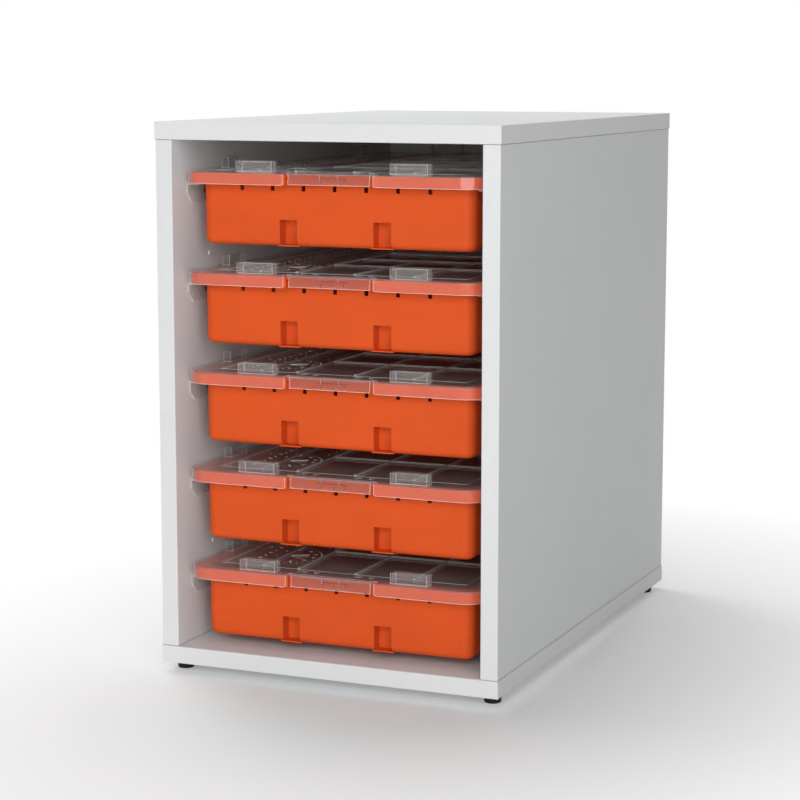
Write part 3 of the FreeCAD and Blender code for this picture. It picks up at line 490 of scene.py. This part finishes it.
def bar(bm, start, end, across, out, width, height, sink):
    """A stroke from start to end, rooted below a face and proud of it along out.

    Each ring of STROKE_RINGS is at a share of the height and keeps a share of the width.
    """
    rings = []
    for reach, share in ((-sink, 1.0), *((height * rise, part) for rise, part in STROKE_RINGS)):
        half = across * (width * share / 2)
        along = (end - start).normalized() * (width * (1.0 - share) / 2)
        rings.append([bm.verts.new(corner + out * reach) for corner in (
            start + along - half, end - along - half, end - along + half, start + along + half)])
    bm.faces.new(rings[0])
    bm.faces.new(rings[-1])
    for lower, upper in zip(rings, rings[1:]):
        for index in range(4):
            after = (index + 1) % 4
            bm.faces.new((lower[index], lower[after], upper[after], upper[index]))


def flat_bar(bm, start, end, width=MARK_WIDTH, sink=MARK_SINK):
    """A moulded stroke on a lid's plate, between two points in X and Y."""
    start, end = Vector((*start, 0.0)), Vector((*end, 0.0))
    up = Vector((0.0, 0.0, 1.0))
    bar(bm, start, end, (end - start).normalized().cross(up), up, width, MARK_HEIGHT, sink)


def flat_number(bm, number, x, y, size):
    """A raised number on a lid's plate."""
    curve = bpy.data.curves.new("number", "FONT")
    curve.body = str(number)
    curve.size = size
    curve.extrude = (MARK_HEIGHT + NUMBER_SINK) / 2
    curve.resolution_u = 2
    curve.align_x = "CENTER"
    curve.align_y = "CENTER"
    obj = bpy.data.objects.new("number", curve)
    mesh = bpy.data.meshes.new_from_object(obj)
    mesh.transform(Matrix.Translation((x, y, (MARK_HEIGHT - NUMBER_SINK) / 2)))
    bm.from_mesh(mesh)
    bpy.data.objects.remove(obj)
    bpy.data.curves.remove(curve)
    bpy.data.meshes.remove(mesh)


def inch_scale(bm):
    """Ticks every half inch, numbers every inch, and a coarse count down the other side."""
    count = int((SCALE_END - SCALE_START) / (INCH / 2))
    for step in range(count + 1):
        y = SCALE_START + step * INCH / 2
        whole = step % 2 == 0
        near, far = INCH_TICKS_X if whole else INCH_HALF_TICKS_X
        flat_bar(bm, (near, y), (far, y), TICK_WIDTH, MARK_SINK if whole else MARK_SINK / 2)
        if whole and step:
            flat_number(bm, step // 2, INCH_NUMBERS_X, y, INCH_NUMBER_SIZE)
        if step % SIDE_NUMBER_EVERY == 0:
            flat_number(bm, step, SIDE_NUMBERS_X, y, INCH_NUMBER_SIZE)


def centimetre_scale(bm):
    """Ticks every half centimetre beside the grid, and numbers every centimetre."""
    count = int((SCALE_END - CM_START) / HALF_CM)
    for step in range(count + 1):
        y = CM_START + step * HALF_CM
        whole = step % 2 == 0
        length = CM_TICK if whole else CM_HALF_TICK
        flat_bar(bm, (CM_SCALE_X, y), (CM_SCALE_X - length, y), TICK_WIDTH)
        if whole:
            flat_number(bm, step // 2, CM_NUMBERS_X, y, CM_NUMBER_SIZE)


def on_circle(radius, degrees):
    """A point on a circle round the angle scale's centre."""
    angle = math.radians(degrees)
    return (ANGLE_CENTRE[0] + radius * math.cos(angle), ANGLE_CENTRE[1] + radius * math.sin(angle))


def angle_scale(bm):
    """A half-circle angle scale: ticks every ten degrees, three rays, and numbers."""
    for angle in ANGLE_TICKS:
        flat_bar(bm, on_circle(ANGLE_TICK_START, angle), on_circle(ANGLE_RADIUS, angle),
                 sink=LINE_SINK)
    for angle in ANGLE_RAYS:
        flat_bar(bm, *(on_circle(radius, angle) for radius in ANGLE_RAY_ENDS), sink=LINE_SINK)
    for angle in ANGLE_NUMBERS:
        flat_number(bm, angle + 90, *on_circle(ANGLE_NUMBERS_AT, angle), ANGLE_NUMBER_SIZE)


def latch_arrows(bm):
    """Small arrows beside the middle of each end, pointing at the latch."""
    for end in ENDS.values():
        for side in SIDES:
            for x in ARROWS_X:
                tip = (side * x, end * ARROW_TIP_Y)
                for leg in (-ARROW_HALF_WIDTH, ARROW_HALF_WIDTH):
                    flat_bar(bm, tip, (tip[0] + leg, end * ARROW_TAIL_Y), sink=LINE_SINK)


def lid_marks():
    """The raised scales and arrows of each lid."""
    master = bmesh.new()
    inch_scale(master)
    centimetre_scale(master)
    angle_scale(master)
    latch_arrows(master)
    bmesh.ops.remove_doubles(master, verts=master.verts, dist=WELD)
    for tray in TRAYS:
        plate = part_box(f"tray_lid_{tray}")[1][2] - LUG_HEIGHT
        bm = master.copy()
        bmesh.ops.translate(bm, verts=bm.verts, vec=(0.0, 0.0, plate))
        piece(f"lid_marks_{tray}", bm, marks, f"lid_{tray}")
    master.free()


# Two points of a latch tab's face: how far out from the middle, and how high over the tub's foot.
TAB_FACE = (266.28 * MM, 72.3 * MM)
TAB_FOOT = (267.01 * MM, 68.0 * MM)
TAB_LINES_X = (-9.7 * MM, 9.7 * MM)
TAB_LINE_WIDTH = 0.35 * MM
TAB_LINE_HEIGHT = 0.2 * MM


def tab_lines():
    """Two fine raised lines on the face of each latch tab."""
    across = Vector((1.0, 0.0, 0.0))
    for tray in TRAYS:
        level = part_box(f"tray_tub_{tray}")[0][2]
        for end, sign in ENDS.items():
            bm = bmesh.new()
            for x in TAB_LINES_X:
                top = Vector((x, sign * TAB_FACE[0], level + TAB_FACE[1]))
                foot = Vector((x, sign * TAB_FOOT[0], level + TAB_FOOT[1]))
                out = across.cross(top - foot).normalized() * -sign
                bar(bm, top, foot, across, out, TAB_LINE_WIDTH, TAB_LINE_HEIGHT, LINE_SINK)
            piece(f"{end}_tab_lines_{tray}", bm, marks, f"{end}_latch_{tray}_tab")


# Screws. The head's rings and its recess are in shares of the head's radius, and the root of the
# thread and the end of the tip in shares of the shank's.
SEGMENTS = 32
HEAD_RINGS = (0.12, 0.2, 0.3, 0.4, 0.5, 0.58, 0.66, 0.8, 0.92, 1.0)
HEAD_DOME = 0.9
RECESS_REACH = 0.6
RECESS_WIDTH = 0.13
RECESS_DEPTH = 0.4
THREAD_PITCH = 1.3 * MM
THREAD_ROOT = 0.8
TIP_LENGTH = 2.5 * MM
TIP_WIDTH = 0.3
TIP_ROUNDING = 0.2 * MM
SMOOTH_BELOW = 35.0


def screw_boxes(node):
    """The lowest and highest corner of each screw in a CAD node.

    Each group of joined vertices is one screw. It grows while the loop runs over it.
    """
    bm = bmesh.new()
    bm.from_mesh(nodes[node].data)
    bmesh.ops.remove_doubles(bm, verts=bm.verts, dist=WELD)
    bm.verts.index_update()
    seen = set()
    for first in bm.verts:
        if first.index in seen:
            continue
        seen.add(first.index)
        group = [first]
        for vert in group:
            for other in (link.other_vert(vert) for link in vert.link_edges):
                if other.index not in seen:
                    seen.add(other.index)
                    group.append(other)
        yield [Vector([pick(vert.co[axis] for vert in group) for axis in range(3)])
               for pick in (min, max)]
    bm.free()


def screw_profile(head, shank, length, rise):
    """Radius and height of each ring from the head's middle to the tip; the head's top is at 0.

    Without a rise the head is countersunk at 45 degrees.
    """
    rings = [(share * head, -rise * (1.0 - math.sqrt(1.0 - HEAD_DOME * share * share)))
             for share in HEAD_RINGS]
    neck = shank - head
    if rise:
        neck = -rise
        rings.append((head, neck))
    rings.append((shank, neck))
    turns = int((length + neck - TIP_LENGTH) / THREAD_PITCH)
    for turn in range(1, turns + 1):
        rings += [(shank * THREAD_ROOT, neck - (turn - 0.5) * THREAD_PITCH),
                  (shank, neck - turn * THREAD_PITCH)]
    return rings + [(shank * TIP_WIDTH, -length + TIP_ROUNDING)]


def recess(x, y, head):
    """How deep a cross-shaped driver recess is at a point of a screw's head."""
    near, far = sorted((abs(x), abs(y)))
    if near > RECESS_WIDTH * head or far > RECESS_REACH * head:
        return 0.0
    return RECESS_DEPTH * head * (1.0 - far / head)


def screw(bm, place, outward, turn, head, shank, length, rise):
    """A screw with a cross recess; place is the middle of its head's top."""
    pose = (Matrix.Translation(place) @ outward.to_track_quat("Z", "Y").to_matrix().to_4x4()
            @ Matrix.Rotation(turn, 4, "Z"))
    rings = []
    for radius, height in screw_profile(head, shank, length, rise):
        ring = []
        for index in range(SEGMENTS):
            angle = 2 * math.pi * index / SEGMENTS
            x, y = radius * math.cos(angle), radius * math.sin(angle)
            drop = recess(x, y, head) if len(rings) < len(HEAD_RINGS) else 0.0
            ring.append(bm.verts.new(pose @ Vector((x, y, height - drop))))
        rings.append(ring)
    top = bm.verts.new(pose @ Vector((0.0, 0.0, -recess(0.0, 0.0, head))))
    tip = bm.verts.new(pose @ Vector((0.0, 0.0, -length)))
    for index in range(SEGMENTS):
        after = (index + 1) % SEGMENTS
        bm.faces.new((top, rings[0][index], rings[0][after]))
        bm.faces.new((tip, rings[-1][after], rings[-1][index]))
        for upper, lower in zip(rings, rings[1:]):
            bm.faces.new((upper[index], lower[index], lower[after], upper[after]))


def smooth(obj, degrees):
    """Shade smooth, but keep edges sharper than an angle."""
    obj.data.polygons.foreach_set("use_smooth", [True] * len(obj.data.polygons))
    obj.data.set_sharp_from_angle(angle=math.radians(degrees))


def screws(node, axis, facing, shank, rise):
    """Replace a node's plain screws by screws with a cross recess, each turned its own way.

    The screws lie along an axis, and facing says which way a head points. rise is the height of a
    domed head; a countersunk head has none.
    """
    bm = bmesh.new()
    for low, high in screw_boxes(node):
        middle = (low + high) / 2
        outward = Vector((0.0, 0.0, 0.0))
        outward[axis] = facing(middle)
        place = middle.copy()
        place[axis] = high[axis] if outward[axis] > 0 else low[axis]
        head = (high[2] - low[2]) / 2
        screw(bm, place, outward, random.uniform(0.0, math.pi), head, shank,
              high[axis] - low[axis], rise)
    new = piece(f"{node}_recessed", bm, steel, "cabinet")
    smooth(new, SMOOTH_BELOW)
    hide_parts(node)


lid_marks()
tab_lines()
screws("runner_screws", axis=0, facing=lambda middle: 1.0 if middle[0] < 0 else -1.0,
       shank=1.75 * MM, rise=2.0 * MM)
screws("back_screws", axis=1, facing=lambda middle: 1.0, shank=1.5 * MM, rise=0.0)


# Camera, light and floor

# The photograph's camera, solved from the cabinet's corners. Angles are in degrees.
LENS_MM = 102.31
SENSOR_MM = 36.0
CAMERA_PLACE = (0.9312, -2.2934, 0.6246)
CAMERA_DIP = 8.478
CAMERA_TURN = 22.88

DOME_STRENGTH = 0.02
AIM = (0.0, 0.0, 0.3)

# Name, place, width, height and power
LAMPS = (
    ("front_softbox", (1.2, -3.6, 1.3), 4.0, 2.6, 102.0),
    ("rear_left_softbox", (-1.9, 0.7, 2.2), 2.2, 2.2, 44.0),
    ("overhead_softbox", (0.0, 0.2, 3.2), 3.4, 3.4, 30.0),
    ("right_softbox", (2.2, -2.6, 1.6), 2.8, 2.4, 8.5),
)

# The floor has a painted cool tint in front of the unit, against the orange light that falls on
# # it, painted light just beside the unit's footprint that lightens the contact shadow there, and
# # fades to white beyond an oval round the unit.
FLOOR_REACH = 14.0
FLOOR_GREY = (0.95, 0.95, 0.95)
FLOOR_PAINTED_COOL = (0.85, 0.945, 0.95)
PAINTED_COOL_MIDDLE = (0.0, -0.40, 0.0)
PAINTED_COOL_REACH = 0.22
CONTACT_PAINTED_LIGHT = 0.22
CONTACT_REACH = 19.0 * MM
FADE_STRETCH = (1.0, 0.63, 1.0)
FADE_MIDDLE = (0.062, -0.092, 0.0)
FADE_RANGE = (0.163, 0.6)


def add_camera():
    """The scene's camera."""
    lens = bpy.data.cameras.new("camera")
    lens.lens = LENS_MM
    lens.sensor_width = SENSOR_MM
    camera = bpy.data.objects.new("camera", lens)
    camera.location = CAMERA_PLACE
    camera.rotation_euler = (math.radians(90.0 - CAMERA_DIP), 0.0, math.radians(CAMERA_TURN))
    bpy.context.scene.collection.objects.link(camera)
    bpy.context.scene.camera = camera


def add_lamp(name, place, width, height, power):
    """A white softbox that faces the unit."""
    lamp = bpy.data.lights.new(name, "AREA")
    lamp.shape = "RECTANGLE"
    lamp.size = width
    lamp.size_y = height
    lamp.energy = power
    obj = bpy.data.objects.new(name, lamp)
    obj.location = place
    obj.rotation_euler = (Vector(AIM) - Vector(place)).to_track_quat("-Z", "Y").to_euler()
    bpy.context.scene.collection.objects.link(obj)


def add_world():
    """An even, faint dome. The camera and what mirrors the room see it white."""
    world = bpy.data.worlds.new("room")
    world.use_nodes = True
    room = Tree(world.node_tree)
    dome = room.tree.nodes["Background"]
    room.fill(dome, WHITE, DOME_STRENGTH)
    seen = room.add("ShaderNodeBackground", Color=WHITE, Strength=1.0)
    rays = room.add("ShaderNodeLightPath").outputs
    shown = room.calculate("MAXIMUM", rays["Is Camera Ray"], rays["Is Glossy Ray"])
    room.feed(room.tree.nodes["World Output"].inputs["Surface"],
              room.mix(shown, dome.outputs[0], seen.outputs[0]))
    bpy.context.scene.world = world


def floor_finish():
    """Pale grey with the unit's shadow, a painted cool tint and painted light near it, white
    further off.
    """
    mat = Nodes("studio_floor")
    # Painted cool tint in front of the unit, cancelling the orange light that the trays throw on
    # the floor.
    painted_cool = mat.ranged(mat.measure("DISTANCE", mat.place, PAINTED_COOL_MIDDLE), 1.0, 0.0, 0.0, PAINTED_COOL_REACH)
    mat.finish(Base_Color=mat.blend(painted_cool, FLOOR_GREY, FLOOR_PAINTED_COOL), Roughness=0.9,
               Specular_IOR_Level=0.1)
    white = mat.add("ShaderNodeEmission", Color=WHITE, Strength=1.0)
    rays = mat.add("ShaderNodeLightPath").outputs
    shown = mat.calculate("MAXIMUM", rays["Is Camera Ray"],
                          mat.calculate("MAXIMUM", rays["Is Transmission Ray"],
                                        rays["Is Glossy Ray"]))
    spot = mat.add("ShaderNodeSeparateXYZ", Vector=mat.place).outputs
    beside = mat.calculate("MAXIMUM", *(
        mat.calculate("SUBTRACT", mat.calculate("ABSOLUTE", spot[axis]), cad_box[1][axis])
        for axis in (0, 1)))
    # Painted light: just beside the footprint the floor turns partly white, which lightens the
    # contact shadow.
    painted_lift = mat.ranged(beside, CONTACT_PAINTED_LIGHT, 0.0, 0.0, CONTACT_REACH)
    far = mat.measure("DISTANCE", mat.stretched(FADE_STRETCH), FADE_MIDDLE)
    share = mat.calculate("MAXIMUM", painted_lift, mat.ranged(far, 0.0, 1.0, *FADE_RANGE))
    mat.show(mat.mix(mat.times(shown, share), mat.shader.outputs[0], white.outputs[0]))
    return mat.material


def add_floor():
    """A square floor under the unit, which only stages it."""
    mesh = bpy.data.meshes.new("floor")
    corners = [(FLOOR_REACH * x, FLOOR_REACH * y, 0.0)
               for x, y in ((-1, -1), (1, -1), (1, 1), (-1, 1))]
    mesh.from_pydata(corners, [], [(0, 1, 2, 3)])
    mesh.materials.append(floor_finish())
    obj = bpy.data.objects.new("floor", mesh)
    bpy.context.scene.collection.objects.link(obj)


add_camera()
add_world()
add_floor()
for lamp in LAMPS:
    add_lamp(*lamp)
bpy.context.scene.view_settings.view_transform = "Standard"
